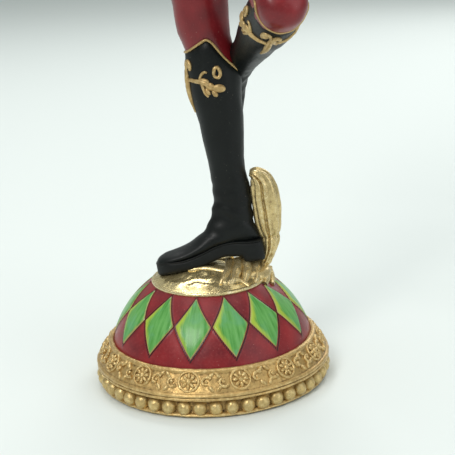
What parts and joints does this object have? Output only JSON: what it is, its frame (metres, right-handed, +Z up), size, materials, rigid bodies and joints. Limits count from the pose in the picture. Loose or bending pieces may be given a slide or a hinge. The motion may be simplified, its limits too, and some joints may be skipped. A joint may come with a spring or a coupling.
{
  "type": "souvenir figurine",
  "caption": "Painted resin figurine of a harlequin acrobat who balances on one boot on a domed base with diamonds and a beaded gilt band.",
  "frame": {"origin": "centre of the felt pad's underside, where the figurine stands", "axes": "+Z up along the figurine; the standing boot points along -X; +Y is away from the side that shows the boot's profile"},
  "size_m": [0.1424, 0.0864, 0.3039],
  "materials": {
    "felt": "dark green felt",
    "dome_red": "deep red paint on cast resin",
    "diamond_green": "brushed green enamel paint with a yellow-green rim",
    "gilt_band": "antiqued gold paint on cast resin",
    "gilt_cap": "bright gold leaf paint on cast resin",
    "boot_black": "satin black paint on cast resin",
    "gilt_trim": "gold paint line on cast resin",
    "hose_red": "deep red paint on cast resin",
    "doublet_cloth": "red and black painted costume on cast resin",
    "ruff_ivory": "ivory paint on cast resin",
    "skin": "flesh paint on cast resin",
    "steel": "plain steel rod and pins"
  },
  "bodies": {
    "root": {"felt_pad": "felt", "base_dome": "dome_red", "plinth_ring": "gilt_band", "bead_row": "gilt_band", "plinth_cords": "gilt_band", "gilt_band": "gilt_band", "band_rosettes": "gilt_band", "band_scrolls": "gilt_band", "dome_diamonds": "diamond_green", "gilt_cap": "gilt_cap", "drape_folds": "gilt_cap", "drape_roll": "gilt_cap", "standing_sole": "boot_black", "standing_boot": "boot_black", "standing_trim": "gilt_trim", "standing_relief": "gilt_trim", "standing_thigh": "hose_red", "raised_sole": "boot_black", "raised_boot": "boot_black", "raised_trim": "gilt_trim", "raised_relief": "gilt_trim", "raised_thigh": "hose_red", "hips": "hose_red", "skirt": "doublet_cloth", "belt": "gilt_trim", "buckle": "gilt_trim", "doublet": "doublet_cloth", "buttons": "gilt_trim", "ruff": "ruff_ivory", "head": "skin", "half_mask": "gilt_trim", "hood": "hose_red", "hood_horns": "hose_red", "bells": "gilt_trim", "right_sleeve": "doublet_cloth", "right_cuff": "gilt_trim", "right_hand": "skin", "left_sleeve": "doublet_cloth", "left_cuff": "gilt_trim", "left_hand": "skin", "leg_rod": "steel", "pins": "steel"}
  },
  "joints": []
}
